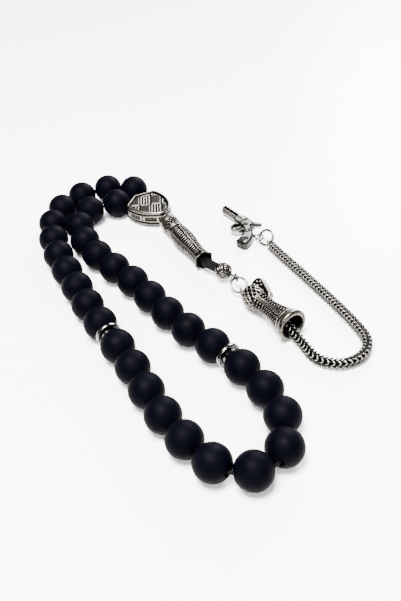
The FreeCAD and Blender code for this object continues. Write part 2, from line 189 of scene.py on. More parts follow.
# Charm, in its own plane: x towards the muzzle, y towards the trigger. Barrel, rod and drum are
# (start, end, distance to the side, radius).
CHARM_HEADING = 104.0
CHARM_MUZZLE = 11.6
CHARM_HEEL = 8.2
CHARM_MIDDLE = 1.5
BARREL = (1.5, 11.35, -1.25, 1.5)
BARREL_BORE = 0.75
BARREL_GROOVE = 73.0
GROOVE_SPAN = (1.6, 9.7)
ROD = (1.5, 10.8, 0.15, 0.55)
DRUM = (-0.2, 3.3, -1.0, 1.5)
DRUM_FLUTES = 6
FRAME_T = 2.4
FRAME_OUTLINE = (
    (3.4, -2.8), (-1.5, -3.0), (-4.5, -2.2), (-4.5, -0.4), (-6.2, 0.4), (-8.8, 1.7), (-10.9, 4.2),
    (-12.0, 6.6), (-12.3, 8.3), (-8.0, 9.0), (-7.6, 7.4), (-7.1, 5.6), (-6.1, 4.0), (-4.5, 2.5),
    (-1.6, 1.5), (3.4, 1.6),
)
GUARD_AT = (-1.7, 3.3)
GUARD_R = 2.5
HAMMER = ((-2.4, -1.4), (-2.4, -3.0), (-5.4, -4.7), (-5.9, -4.2), (-4.2, -2.6), (-3.9, -1.2))
TRIGGER = ((-0.9, 1.2), (-2.6, 1.6), (-2.4, 3.0), (-1.5, 4.1), (-1.6, 3.0))
SIGHT = ((9.4, -2.5), (10.9, -2.5), (10.9, -2.95), (10.4, -3.1), (9.4, -2.8))
SEAM = ((-1.1, -2.5), (-0.2, -2.5), (0.0, 1.1), (-0.9, 0.9))
DIAMOND = ((-1.5, 0.4), (-2.7, 1.5), (-3.9, 0.4), (-2.7, -0.7))
BOW = ((-8.1, 6.3), (-8.1, 8.1), (-10.9, 7.9), (-10.1, 6.6), (-10.6, 5.1), (-9.1, 4.5))
BUTT_END = (-10.1, 8.72)
BUTT_STUD = 0.32
ARM_FROM = (-8.2, 2.4)
ARM_R = 0.55
CHARM_LOOP_R = 1.3
LOOP_WIRE = 0.35

# Studio, in metres: each light's name, place, size, power in watts and colour.
LIGHT_TARGET = (0.02, 0.0, 0.0)
LIGHTS = (
    ("overhead", (-0.12, -0.10, 0.75), (0.30, 0.30), 55.0, (1.0, 0.99, 0.98)),
    ("window", (0.75, 0.75, 0.55), (0.5, 0.4), 52.0, (0.97, 0.98, 1.0)),
    ("fill", (-0.20, -0.60, 0.60), (0.5, 0.4), 9.0, (1.0, 1.0, 1.0)),
)
WALLS = (0.93, 0.96, 1.0, 1.0)
WALLS_STRENGTH = 0.15
TABLE_HALF = 2.0


# ---- places --------------------------------------------------------------------------

joints = {joint["name"]: joint for joint in frame["joints"]}


def unit(vector):
    return vector / np.linalg.norm(vector)


def units(rows):
    """Rows of vectors, each made one long."""
    return rows / np.linalg.norm(rows, axis=-1, keepdims=True)


def distances(points):
    """How far along a line each of its points lies."""
    runs = np.linalg.norm(np.diff(points, axis=0), axis=1)
    return np.concatenate(((0.0,), np.cumsum(runs)))


def heading(degrees):
    """Level direction at an angle from +X."""
    turn = math.radians(degrees)
    return np.array((math.cos(turn), math.sin(turn), 0.0))


def joint_line(name):
    """A joint's point, in millimetres, and the direction of its axis."""
    return np.array(joints[name]["pos_m"]) / MM, unit(np.array(joints[name]["axis"]))


def reach(node, origin, axis):
    """How far a CAD node reaches along a line, at its near and its far end."""
    points = np.array([vertex.co[:] for vertex in frame["nodes"][node].data.vertices]) / MM
    along = (points - origin) @ axis
    return along.min(), along.max()


class Place:
    """An origin and three directions: side, across and along."""

    def __init__(self, origin, along, side=None):
        self.origin = np.asarray(origin, float)
        self.along = unit(np.asarray(along, float))
        guide = UP if side is None else np.asarray(side, float)
        if abs(self.along @ guide) > 0.99:
            guide = np.array((1.0, 0.0, 0.0))
        self.side = unit(guide - self.along * (guide @ self.along))
        self.across = np.cross(self.along, self.side)

    def put(self, local):
        """Points in the CAD frame from points in this place's own directions."""
        return self.origin + np.asarray(local) @ np.array((self.side, self.across, self.along))


# ---- mesh making -----------------------------------------------------------------------


def quads(rows, columns, join_rows=False, join_columns=True):
    """Faces of a grid of points, whose last row or column may join the first."""
    faces = []
    for i in range(rows if join_rows else rows - 1):
        low, high = i * columns, (i + 1) % rows * columns
        for j in range(columns if join_columns else columns - 1):
            k = (j + 1) % columns
            faces.append((low + j, low + k, high + k, high + j))
    return faces


class Form:
    """A mesh in the making, with a tone for each point: 0 is a blackened recess, 1 a
    polished ridge. On wires the tone also holds painted shade."""

    def __init__(self):
        self.points = []
        self.faces = []
        self.tones = []
        self.count = 0

    def add(self, points, faces, tones=1.0):
        points = np.asarray(points, float).reshape(-1, 3)
        self.points.append(points)
        self.tones.append(np.broadcast_to(np.ravel(tones), len(points)))
        self.faces += [tuple(k + self.count for k in face) for face in faces]
        self.count += len(points)

    def piece(self, name, body, material, slot, *nodes, crease=180.0):
        """Turn the form into an object that rides on a body and stands for CAD nodes."""
        mesh = bpy.data.meshes.new(name)
        mesh.from_pydata((np.concatenate(self.points) * MM).tolist(), [], self.faces)
        tone = mesh.attributes.new("tone", "FLOAT", "POINT")
        tone.data.foreach_set("value", np.clip(np.concatenate(self.tones), 0, 1))
        work = bmesh.new()
        work.from_mesh(mesh)
        bmesh.ops.recalc_face_normals(work, faces=work.faces)
        work.to_mesh(mesh)
        work.free()
        mesh.shade_smooth()
        if crease < 180:
            mesh.set_sharp_from_angle(angle=math.radians(crease))
        mesh.materials.append(material)
        piece = bpy.data.objects.new(name, mesh)
        bpy.context.scene.collection.objects.link(piece)
        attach(piece, body)
        if nodes:
            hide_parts(*nodes)
        return piece


def sampled(pairs, step):
    """Smooth curve through (height, radius) pairs, at even steps of height, that never
    swings beyond them."""
    knots = np.array(pairs, float)
    runs = np.diff(knots[:, 1]) / np.diff(knots[:, 0])
    same_way = runs[:-1] * runs[1:] > 0
    total = np.where(same_way, runs[:-1] + runs[1:], 1.0)
    between = np.where(same_way, 2 * runs[:-1] * runs[1:] / total, 0.0)
    slopes = np.concatenate((runs[:1], between, runs[-1:]))
    at = np.linspace(knots[0, 0], knots[-1, 0], round((knots[-1, 0] - knots[0, 0]) / step) + 1)
    i = np.clip(np.searchsorted(knots[:, 0], at, side="right") - 1, 0, len(knots) - 2)
    width = knots[i + 1, 0] - knots[i, 0]
    t = (at - knots[i, 0]) / width
    value = (
        (1 + 2 * t) * (1 - t) ** 2 * knots[i, 1] + t * (1 - t) ** 2 * width * slopes[i]
        + t**2 * (3 - 2 * t) * knots[i + 1, 1] - t**2 * (1 - t) * width * slopes[i + 1]
    )
    return list(zip(at, value))


def lathe(form, place, skin, bore, around, relief=None, bore_tone=0.1):
    """Surface of revolution closed by its skin, outside, and its bore, inside, both rows of
    (height, radius). Relief gives the skin's raising and tone for a height and an angle."""
    rows = np.array(list(skin) + list(bore), float)
    angles = np.arange(around) * TURN / around
    raised = np.zeros((len(rows), around))
    tones = np.full((len(rows), around), bore_tone)
    tones[:len(skin)] = 1.0
    if relief:
        raised[:len(skin)], tones[:len(skin)] = relief(rows[:len(skin), :1], angles[None, :])
    radii = rows[:, 1:] + raised
    heights = np.broadcast_to(rows[:, :1], radii.shape)
    local = np.stack((radii * np.cos(angles), radii * np.sin(angles), heights), axis=-1)
    form.add(place.put(local), quads(len(rows), around, join_rows=True), tones)


def ridge(distance, width):
    """1 at the middle of a ridge, falling in a round curve to 0 at its edges."""
    return np.sqrt(np.clip(1 - (distance / width) ** 2, 0, 1))


def saw(value):
    """Distance of a value from the nearest whole number."""
    return np.abs(value - np.round(value))


def highest(*levels):
    """The highest of several levels, which may differ in shape."""
    top = levels[0]
    for level in levels[1:]:
        top = np.maximum(top, level)
    return top


def wires(form, lines, outward, radius, sides=8, low=0.1, high=1.0, closed=False, shade_along=1.0):
    """Round wires along lines, given as (wire, point, xyz), with painted shade: darker on
    their side away from outward and, by a painted-shade factor for each point, along their length."""
    lines, outward = np.asarray(lines, float), np.asarray(outward, float)
    if closed:
        along = np.roll(lines, -1, axis=1) - np.roll(lines, 1, axis=1)
    else:
        along = np.gradient(lines, axis=1)
    sideways = units(np.cross(along, outward))
    outer = units(np.cross(sideways, along))
    angles = np.arange(sides) * TURN / sides
    spread = np.broadcast_to(np.asarray(radius, float), lines.shape[:2])[..., None, None]
    across, up = np.cos(angles)[:, None], np.sin(angles)[:, None]
    ring = across * sideways[:, :, None] + up * outer[:, :, None]
    skin = lines[:, :, None] + spread * ring
    # Painted shade: each wire is darker on its side away from outward, from high down to low, and
    # darker where the shade factor along it is low.
    tone = low + (high - low) * np.clip(0.75 + 0.75 * np.sin(angles), 0, 1)
    tones = np.broadcast_to(shade_along, lines.shape[:2])[..., None] * tone
    for wire, shade in zip(skin, tones):
        faces = quads(len(wire), sides, join_rows=closed)
        if not closed:
            last = (len(wire) - 1) * sides
            faces += [tuple(range(sides))[::-1], tuple(range(last, last + sides))]
        form.add(wire, faces, shade)


def nurbs_path(route):
    """Points along the smooth line that a route's points control."""
    curve = bpy.data.curves.new("route", "CURVE")
    curve.dimensions = "3D"
    curve.resolution_u = 24
    spline = curve.splines.new("NURBS")
    spline.points.add(len(route) - 1)
    for control, point in zip(spline.points, route):
        control.co = (*(np.array(point) * MM), 1.0)
    spline.order_u = 3
    spline.use_endpoint_u = True
    holder = bpy.data.objects.new("route", curve)
    line = bpy.data.meshes.new_from_object(holder)
    points = np.array([vertex.co[:] for vertex in line.vertices]) / MM
    bpy.data.objects.remove(holder)
    bpy.data.curves.remove(curve)
    bpy.data.meshes.remove(line)
    return points


# ---- materials -------------------------------------------------------------------------


class Finish:
    """A node material with a principled shader, and short ways to add nodes to it."""

    def __init__(self, name, **sockets):
        self.material = bpy.data.materials.new(name)
        self.material.use_nodes = True
        self.nodes = self.material.node_tree.nodes
        self.shader = self.nodes["Principled BSDF"]
        for socket, value in sockets.items():
            self.shader.inputs[socket.replace("_", " ")].default_value = value

    def link(self, source, target):
        self.material.node_tree.links.new(source, target)

    def noise(self, scale, detail=4.0, stretch=(1, 1, 1)):
        """Noise over the object, in features of about 1/scale metres."""
        place = self.nodes.new("ShaderNodeTexCoord")
        mapping = self.nodes.new("ShaderNodeMapping")
        mapping.inputs["Scale"].default_value = stretch
        texture = self.nodes.new("ShaderNodeTexNoise")
        texture.inputs["Scale"].default_value = scale
        texture.inputs["Detail"].default_value = detail
        self.link(place.outputs["Object"], mapping.inputs["Vector"])
        self.link(mapping.outputs["Vector"], texture.inputs["Vector"])
        return texture.outputs["Fac"]

    def ramp(self, source, *stops):
        """Colours or greys along a value from 0 to 1."""
        ramp = self.nodes.new("ShaderNodeValToRGB")
        for i, (position, colour) in enumerate(stops):
            stop = ramp.color_ramp.elements[i] if i < 2 else ramp.color_ramp.elements.new(position)
            stop.position = position
            grey = colour if isinstance(colour, tuple) else (colour,) * 3
            stop.color = (*grey, 1.0)
        self.link(source, ramp.inputs["Fac"])
        return ramp.outputs["Color"]

    def tone(self, noise, share):
        """The mesh's tone, worn unevenly by a noise."""
        attribute = self.nodes.new("ShaderNodeAttribute")
        attribute.attribute_name = "tone"
        wear = self.nodes.new("ShaderNodeMath")
        wear.operation = "MULTIPLY_ADD"
        wear.inputs[1].default_value = share
        wear.inputs[2].default_value = -share / 2
        self.link(noise, wear.inputs[0])
        total = self.nodes.new("ShaderNodeMath")
        total.operation = "ADD"
        total.use_clamp = True
        self.link(attribute.outputs["Fac"], total.inputs[0])
        self.link(wear.outputs[0], total.inputs[1])
        return total.outputs[0]

    def bump(self, height, distance, strength=1.0):
        bump = self.nodes.new("ShaderNodeBump")
        bump.inputs["Distance"].default_value = distance
        bump.inputs["Strength"].default_value = strength
        self.link(height, bump.inputs["Height"])
        self.link(bump.outputs["Normal"], self.shader.inputs["Normal"])

    def set(self, socket, source):
        self.link(source, self.shader.inputs[socket])


def onyx():
    """Black stone with a sandblasted skin: a faint cool bloom over near black."""
    finish = Finish("onyx", Specular_IOR_Level=0.011)
    cloud = finish.noise(260, 3)
    finish.set("Base Color", finish.ramp(
        cloud, (0.3, (0.0002, 0.0002, 0.0009)), (0.7, (0.0005, 0.0005, 0.0015))
    ))
    finish.set("Roughness", finish.ramp(finish.noise(900, 2), (0.3, 0.48), (0.7, 0.58)))
    finish.bump(finish.noise(9000, 2), 0.00002, 0.35)
    return finish.material


def cast_silver(name, dark, middle, light, shine):
    """Cast metal whose recesses stay blackened and whose ridges are rubbed bright, after the
    mesh's tone, which on wires also holds painted shade.
    """
    finish = Finish(name, Metallic=1.0)
    tone = finish.tone(finish.noise(1500, 4), 0.3)
    dim = tuple(0.35 * channel for channel in middle)
    finish.set("Base Color", finish.ramp(
        tone, (0.4, dark), (0.98, light), (0.66, dim), (0.86, middle)
    ))
    finish.set("Roughness", finish.ramp(tone, (0.1, 0.6), (0.95, shine)))
    finish.bump(finish.noise(3200, 3), 0.00004, 0.5)
    return finish.material


def polished_silver():
    """Plated wire and discs, with faint rubbing marks and a little grime."""
    finish = Finish("polished_silver", Metallic=1.0)
    finish.set("Base Color", finish.ramp(
        finish.noise(700, 3), (0.25, (0.05, 0.048, 0.044)), (0.6, (0.14, 0.137, 0.127))
    ))
    finish.set("Roughness", finish.ramp(
        finish.noise(1800, 3, (1, 6, 1)), (0.3, 0.10), (0.75, 0.24)
    ))
    finish.bump(finish.noise(2600, 3), 0.00002, 0.3)
    return finish.material


def waxed_cord():
    """Thin waxed black cord: a tight twist seen as fine slanting ridges."""
    finish = Finish("waxed_cord", Specular_IOR_Level=0.04)
    place = finish.nodes.new("ShaderNodeTexCoord")
    twist = finish.nodes.new("ShaderNodeTexWave")
    twist.bands_direction = "DIAGONAL"
    twist.inputs["Scale"].default_value = 900
    twist.inputs["Distortion"].default_value = 1.5
    twist.inputs["Detail"].default_value = 2
    finish.link(place.outputs["Object"], twist.inputs["Vector"])
    finish.set("Base Color", finish.ramp(
        twist.outputs["Fac"], (0.2, (0.0003, 0.0003, 0.0004)), (0.8, (0.0015, 0.0015, 0.0018))
    ))
    finish.set("Roughness", finish.ramp(finish.noise(2000, 2), (0.3, 0.36), (0.7, 0.55)))
    finish.bump(twist.outputs["Fac"], 0.00008, 0.6)
    return finish.material


def table_top():
    """White laminate: very slightly glossy, with a barely visible mottle."""
    finish = Finish("table_top", Specular_IOR_Level=0.4)
    finish.set("Base Color", finish.ramp(
        finish.noise(14, 3), (0.3, (0.86, 0.86, 0.865)), (0.7, (0.885, 0.885, 0.885))
    ))
    finish.set("Roughness", finish.ramp(finish.noise(40, 3), (0.3, 0.30), (0.7, 0.36)))
    finish.bump(finish.noise(2500, 2), 0.00001, 0.2)
    return finish.material


ONYX = onyx()
ANTIQUE = cast_silver(
    "antique_silver", (0.001, 0.001, 0.0008), (0.04, 0.037, 0.031), (0.25, 0.233, 0.2), 0.30
)
CHAIN_SILVER = cast_silver(
    "chain_silver", (0.001, 0.001, 0.0008), (0.036, 0.034, 0.03), (0.24, 0.228, 0.202), 0.28
)
CHARM_SILVER = cast_silver(
    "charm_silver", (0.001, 0.001, 0.001), (0.045, 0.043, 0.038), (0.28, 0.267, 0.238), 0.30
)
POLISHED = polished_silver()
CORD = waxed_cord()


# ---- camera ----------------------------------------------------------------------------


def make_camera():
    """Camera that looks down on the table, a little to the right."""
    pitch, roll = math.radians(CAMERA_PITCH), math.radians(CAMERA_ROLL)
    level = Vector(heading(90 - CAMERA_HEADING))
    forward = level * math.cos(pitch) - Vector(UP) * math.sin(pitch)
    right = forward.cross(Vector(UP)).normalized()
    above = right.cross(forward)
    turned_right = right * math.cos(roll) + above * math.sin(roll)
    turned_up = above * math.cos(roll) - right * math.sin(roll)
    data = bpy.data.cameras.new("camera")
    data.lens = CAMERA_LENS
    data.clip_start, data.clip_end = 0.01, 20
    camera = bpy.data.objects.new("camera", data)
    axes = Matrix((turned_right, turned_up, -forward)).transposed().to_4x4()
    camera.matrix_world = Matrix.Translation(Vector(CAMERA_AT) * MM) @ axes
    bpy.context.scene.collection.objects.link(camera)
    bpy.context.scene.camera = camera


# ---- chain -----------------------------------------------------------------------------


def even_frames(path, step):
    """Points at even steps along a path, with their direction and a steady upward side."""
    distance = distances(path)
    at = np.linspace(0, distance[-1], round(distance[-1] / step) + 1)
    points = np.stack([np.interp(at, distance, path[:, k]) for k in range(3)], axis=-1)
    along = units(np.gradient(points, axis=0))
    above = units(UP - along * (along @ UP)[:, None])
    return at, points, along, above


def make_chain(top, along):
    """Foxtail chain: columns of bent links, each tucked under the next, round a core painted
    black as painted shade; the links also carry painted shade at their ends and inner sides.
    """
    route = [top + along * run for run in CHAIN_RUN]
    route += [np.array((x, y, CHAIN_Z)) for x, y in CHAIN_ROUTE]
    path = nurbs_path(route)
    at, points, forward, above = even_frames(path, CHAIN_STEP)
    form = Form()
    core = CHAIN_R - 2 * LINK_WIRE - CORE_GAP
    # Painted shade: a black tube stands in for the shaded inside of the chain.
    wires(form, [points[2:-4]], [above[2:-4]], core, 16, 0.0, 0.0)

    def on_chain(distance, angle, height):
        """Points at a distance, an angle round and a height off the chain's line."""
        def mixed(values):
            return np.stack([np.interp(distance, at, values[:, k]) for k in range(3)], axis=-1)
        up, on = mixed(above), mixed(forward)
        beside = np.cross(on, up)
        out = up * np.cos(angle)[..., None] + beside * np.sin(angle)[..., None]
        return mixed(points) + out * height[..., None], out

    t = np.linspace(-1, 1, LINK_POINTS)
    turn = TURN / LINK_COLUMNS
    for column in range(LINK_COLUMNS):
        first = LINK_REACH + LINK_ENDS[0] + (column % 2) * LINK_PITCH / 2
        apex = np.arange(first, at[-1] - LINK_ENDS[1], LINK_PITCH)[:, None]
        distance = apex - LINK_REACH * np.abs(t) ** 1.25
        angle = (column + 0.5) * turn + LINK_SPREAD * turn / 2 * np.sin(t * math.pi / 2)
        angle = np.broadcast_to(angle, distance.shape)
        height = CHAIN_R - LINK_WIRE - LINK_DIVE * np.abs(t) ** 1.5
        height = np.broadcast_to(height, distance.shape)
        lines, out = on_chain(distance, angle, height)
        # Painted shade: each link is darker towards its ends, where it tucks under the next, and on
        # its inner side.
        wires(form, lines, out, LINK_WIRE, 8, 0.0, 1.0, shade_along=1 - 0.75 * t**2)
    chain = form.piece("foxtail_chain", "bell_hanger", CHAIN_SILVER, "chain_silver", "tassel_chain")
    return chain, path


# ---- beads -----------------------------------------------------------------------------


def make_beads():
    """Drilled balls with a small chamfer at each end of the hole."""
    chamfer = BEAD_HOLE + BEAD_CHAMFER
    edge = math.asin(chamfer / BEAD_R)
    polar = np.linspace(edge, math.pi - edge, 44)
    skin = [(BEAD_R * math.cos(a), BEAD_R * math.sin(a)) for a in polar]
    depth = BEAD_R * math.cos(edge) - BEAD_CHAMFER
    bore = ((-depth, BEAD_HOLE), (0.0, BEAD_HOLE), (depth, BEAD_HOLE))
    for name in joints:
        if not name.startswith("bead_"):
            continue
        node = joints[name]["child"]
        form = Form()
        lathe(form, Place(*joint_line(name)), skin, bore, 64)
        form.piece(f"{node}_stone", node, ONYX, "onyx_bead", node, crease=50)


def make_spacers():
    """Dished discs with a rounded, polished rim."""
    half = list(SPACER_HALF)
    skin = half + [(-height, radius) for height, radius in half[-2::-1]]
    for name in joints:
        if not name.startswith("spacer_ring"):
            continue
        node = joints[name]["child"]
        form = Form()
        lathe(form, Place(*joint_line(name)), skin, [], 96)
        spacer = form.piece(f"{node}_disc", node, POLISHED, "polished_silver", node)
        smooth = spacer.modifiers.new("smooth", "SUBSURF")
        smooth.levels = smooth.render_levels = 1


# ---- shield ----------------------------------------------------------------------------


def arc(start, middle, end, count):
    """Points of the arc through three points, without its last one."""
    a, b, c = (complex(*point) for point in (start, middle, end))
    w = (c - a) / (b - a)
    centre = (b - a) * (w - abs(w) ** 2) / (2j * w.imag) + a
    spin = np.angle((c - centre) / (a - centre))
    points = centre + (a - centre) * np.exp(1j * spin * np.arange(count) / count)
    return np.stack((points.real, points.imag), axis=-1)


def shield_outline():
    """Even points round the shield, with its corners rounded."""
    mirror = np.array((-1, 1))
    peak, point = (0.0, SHIELD_PEAK), (0.0, SHIELD_POINT)
    foot = np.array(SHIELD_FOOT) * mirror
    corner = np.array(SHIELD_CORNER) * mirror
    edge = np.concatenate((
        np.linspace(peak, SHIELD_CORNER, 40, endpoint=False),
        arc(SHIELD_CORNER, SHIELD_SIDE, SHIELD_FOOT, 60),
        arc(SHIELD_FOOT, point, foot, 24),
        arc(foot, np.array(SHIELD_SIDE) * mirror, corner, 60),
        np.linspace(corner, peak, 40, endpoint=False),
    ))
    closed = np.concatenate((edge, edge[:1]))
    distance = distances(closed)
    at = np.arange(SHIELD_POINTS) * distance[-1] / SHIELD_POINTS
    even = np.stack([np.interp(at, distance, closed[:, k]) for k in range(2)], axis=-1)
    shifts = range(-SHIELD_ROUNDING, SHIELD_ROUNDING + 1)
    return sum(np.roll(even, shift, axis=0) for shift in shifts) / len(shifts)


def band_relief(share, height):
    """Ornament of the shield's side: framed panels, each with a row of small studs."""
    across = saw(share * PANELS) * 2
    middle = (BAND_LOW + BAND_HIGH) / 2
    half = (BAND_HIGH - BAND_LOW) / 2
    up = (height - middle) / half
    frame_line = ridge(np.maximum(np.abs(across), np.abs(up)) - 0.82, 0.2)
    studs = ridge(np.hypot(saw(share * PANELS * PANEL_STUDS) * 2, up * 1.6), 0.75)
    inside = (np.abs(across) < 0.66) & (np.abs(up) < 0.66)
    level = np.maximum(frame_line, studs * inside)
    return BAND_DEPTH * level - BAND_DEPTH, 0.05 + 0.95 * level


def weave(across, along):
    """Height and tone of the face's checked pattern at a point of its grid: plain and barred
    cells between black dividers one way and bright borders the other way."""
    u, v = across / WEAVE_CELL[0], along / WEAVE_CELL[1]
    barred = (np.floor(u) + np.floor(v)) % 2 == 0
    bars = ridge(saw(v * WEAVE_BARS + 0.5), WEAVE_BAR)
    divider = np.clip((saw(v) * WEAVE_CELL[1] - WEAVE_DIVIDER) / 0.12, 0, 1)
    crossing = saw(u) * WEAVE_CELL[0]
    border = ridge(crossing, WEAVE_BORDER)
    clear = np.clip((crossing - WEAVE_CLEAR) / 0.14, 0, 1)
    level = highest(np.where(barred, bars, 0.92) * clear, border) * divider
    tone = highest(np.where(barred, np.minimum(1.2 * bars, 1), 0.87) * clear, border) * divider
    return level, tone


def shield_face(form, place, outline, top, upward):
    """Sunk face: a fine grid, woven inside the groove that follows the rim."""
    turn = math.radians(WEAVE_TURN)
    steps = np.arange(-FACE_HALF, FACE_HALF + WEAVE_STEP, WEAVE_STEP)
    u, v = np.meshgrid(steps, steps, indexing="ij")
    x = WEAVE_AT[0] + u * math.cos(turn) - v * math.sin(turn)
    y = WEAVE_AT[1] + u * math.sin(turn) + v * math.cos(turn)
    points = np.stack((x, y), axis=-1)
    depth = inside_depth(points.reshape(-1, 2), outline).reshape(x.shape)
    level, tone = weave(u, v)
    edge = np.clip((depth - FACE_GROOVE) / 0.14, 0, 1)
    height = top + upward * (-FACE_DEPTH + FACE_DEPTH * level * edge)
    keep = depth > FACE_UNDER_RIM
    index = np.full(x.shape, -1)
    index[keep] = np.arange(keep.sum())
    faces = []
    for i, j in np.argwhere(keep[:-1, :-1] & keep[1:, :-1] & keep[:-1, 1:] & keep[1:, 1:]):
        faces.append((index[i, j], index[i + 1, j], index[i + 1, j + 1], index[i, j + 1]))
    local = np.stack((x[keep], y[keep], height[keep]), axis=-1)
    form.add(place.put(local), faces, (tone * edge)[keep])


def inside_depth(points, outline):
    """How far points lie inside a closed outline; negative outside it."""
    ends = np.roll(outline, -1, axis=0)
    nearest = np.full(len(points), np.inf)
    inside = np.zeros(len(points), bool)
    for start, end in zip(outline, ends):
        run = end - start
        t = np.clip((points - start) @ run / (run @ run), 0, 1)
        gap = np.linalg.norm(points - start - t[:, None] * run, axis=1)
        nearest = np.minimum(nearest, gap)
        if start[1] != end[1]:
            crosses = (start[1] > points[:, 1]) != (end[1] > points[:, 1])
            cut = start[0] + (points[:, 1] - start[1]) * run[0] / run[1]
            inside ^= crosses & (points[:, 0] < cut)
    return np.where(inside, nearest, -nearest)


def make_shield():
    """Flat shield: a moulded side wall and a woven face in front and at the back."""
    up_way = -heading(SHIELD_HEADING)
    side_way = np.cross(up_way, UP)
    low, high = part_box("shield_bead")
    left, right = reach("shield_bead", np.zeros(3), side_way)
    down, top = reach("shield_bead", np.zeros(3), up_way)
    centre = side_way * (left + right) / 2 + up_way * (down + top) / 2 + UP * low.z / MM
    place = Place(centre, UP, side_way)
    outline = shield_outline()
    tangent = np.roll(outline, -1, axis=0) - np.roll(outline, 1, axis=0)
    inward = units(np.stack((-tangent[:, 1], tangent[:, 0]), axis=-1))
    share = np.arange(len(outline)) / len(outline)
    rows, tones = [], []
    for step_in, height, tone in SHIELD_WALL:
        push, shade = np.zeros(len(outline)), np.full(len(outline), tone)
        if BAND_LOW < height < BAND_HIGH:
            push, shade = band_relief(share, height)
        edge = outline + inward * (step_in - push)[:, None]
        rows.append(np.column_stack((edge, np.full(len(edge), height))))
        tones.append(shade)
    form = Form()
    form.add(place.put(np.array(rows)), quads(len(rows), len(outline)), np.array(tones))
    shield_face(form, place, outline, FACE_TOP, 1)
    shield_face(form, place, outline, (high.z - low.z) / MM - FACE_TOP, -1)
    form.piece("shield", "cord_and_shield", ANTIQUE, "antique_silver", "shield_bead")


# ---- collar, minaret and ball ---------------------------------------------------------------


def collar_relief(height, angle):
    """Wide grooved band, then a ring and rows of short dashes, then two closing rings."""
    band = np.clip((COLLAR_BAND - height) / 0.15, 0, 1) * np.clip(height / 0.2, 0, 1)
    level = band * (1 - 0.45 * ridge(height - 1.0, 0.18)) * 0.92
    for at, width in COLLAR_RINGS:
        level = highest(level, ridge(height - at, width))
    for row, at in enumerate(COLLAR_ROWS):
        dashes = 0.35 + 0.65 * ridge(saw(angle / TURN * COLLAR_DASHES + row / 2), 0.42)
        level = highest(level, ridge(height - at, 0.27) * dashes)
    return COLLAR_DEPTH * (level - 1), level


def minaret_relief(height, angle):
    """Twin rails from end to end, with ladders of cross ribs between them, in a skin that
    turns six-sided towards its mouth."""
    share = saw(angle / TURN * MINARET_SIDES + MINARET_PHASE) * 2
    rail = ridge(share, 0.34)
    twin = 1 - 0.5 * ridge(share, 0.06)
    rib = ridge(saw(height / MINARET_RIB), 0.26)
    ladder = (share > 0.42) & (height > MINARET_LADDER[0]) & (height < MINARET_LADDER[1])
    cap = ridge(height - 0.55, 0.55)
    lip = ridge(height - 19.3, 0.6)
    level = highest(rail * twin, rib * ladder, cap, lip)
    start, length, reach_out = MINARET_CORNERS
    corner = np.clip((height - start) / length, 0, 1) ** 2 * reach_out * (1 - 2 * share)
    return MINARET_DEPTH * (level - 1) + corner, 0.94 * level


def knot_relief(height, angle):
    """Turk's head: patches of parallel strands that pass over and under one another."""
    latitude = np.arcsin(np.clip(height / BALL_R, -1, 1))
    u = angle / TURN * BALL_PATCHES + latitude / math.pi * 3
    v = angle / TURN * BALL_PATCHES - latitude / math.pi * 3
    over = (np.floor(u) + np.floor(v)) % 2 == 0
    run = np.where(over, u - np.floor(u), v - np.floor(v))
    side = np.where(over, v, u)
    strand = ridge(saw(side * BALL_STRANDS + 0.5), 0.42)
    crown = 0.55 + 0.45 * np.sin(run * math.pi)
    level = strand * crown
    return BALL_DEPTH * (level - 1), level * 1.1


def make_tail():
    """Collar, minaret bead and rope-knot ball, each turned about the line it spins on."""
    start, along = joint_line("minaret_spin")
    first, _ = reach("imame_collar", start, along)
    form = Form()
    skin = sampled(COLLAR_PROFILE, 0.07)
    length = COLLAR_PROFILE[-1][0]
    bore = ((length, TAIL_BORE), (length / 2, TAIL_BORE), (0.0, TAIL_BORE))
    lathe(form, Place(start + along * first, along), skin, bore, 220, collar_relief)
    form.piece("collar", "imame_collar", ANTIQUE, "antique_silver", "imame_collar")

    first, _ = reach("imame_minaret", start, along)
    form = Form()
    skin = sampled(MINARET_PROFILE, 0.09)
    mouth = MINARET_PROFILE[-1][0]
    bore = (
        (mouth - 0.1, TAIL_BORE + 0.4), (mouth - 1.0, TAIL_BORE), (mouth / 2, TAIL_BORE),
        (0.0, TAIL_BORE),
    )
    lathe(form, Place(start + along * first, along), skin, bore, 198, minaret_relief)
    form.piece("minaret", "imame_minaret", ANTIQUE, "antique_silver", "imame_minaret")

    centre, along = joint_line("ball_spin")
    near, radius = reach("knot_ball", centre, along)
    polar = np.linspace(math.acos(near / radius), math.radians(BALL_OPENING), 110)
    skin = [(radius * math.cos(a), radius * math.sin(a)) for a in polar]
    bore = ((radius * 0.9, 1.0), (1.7, 1.0), (1.7, TAIL_BORE - 0.05), (near, TAIL_BORE - 0.05))
    form = Form()
    lathe(form, Place(centre, along), skin, bore, 180, knot_relief)
    form.piece("ball", "knot_ball", ANTIQUE, "antique_silver", "knot_ball")


def winding_relief(height, angle):
    """Turns of cord that climb round a knot."""
    level = ridge(saw(angle / TURN * KNOT_TURNS + height / 1.4), 0.46)
    return KNOT_DEPTH * (level - 1), level


def make_knots():
    """Wound overhand knots that hold the cords in the shield and in the ball."""
    along = heading(KNOT_HEADING)
    for node in ("hanger_knot", "end_knot"):
        low, high = (np.array(corner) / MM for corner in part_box(node))
        radius = (high - low).min() / 2 - 0.05
        skin = [(radius * math.cos(a), radius * math.sin(a)) for a in np.linspace(0.2, 2.94, 40)]
        form = Form()
        lathe(form, Place((low + high) / 2, along), skin, [], 48, winding_relief)
        form.piece(f"{node}_winding", "cord_and_shield", CORD, "black_cord", node)


# ---- bell ------------------------------------------------------------------------------


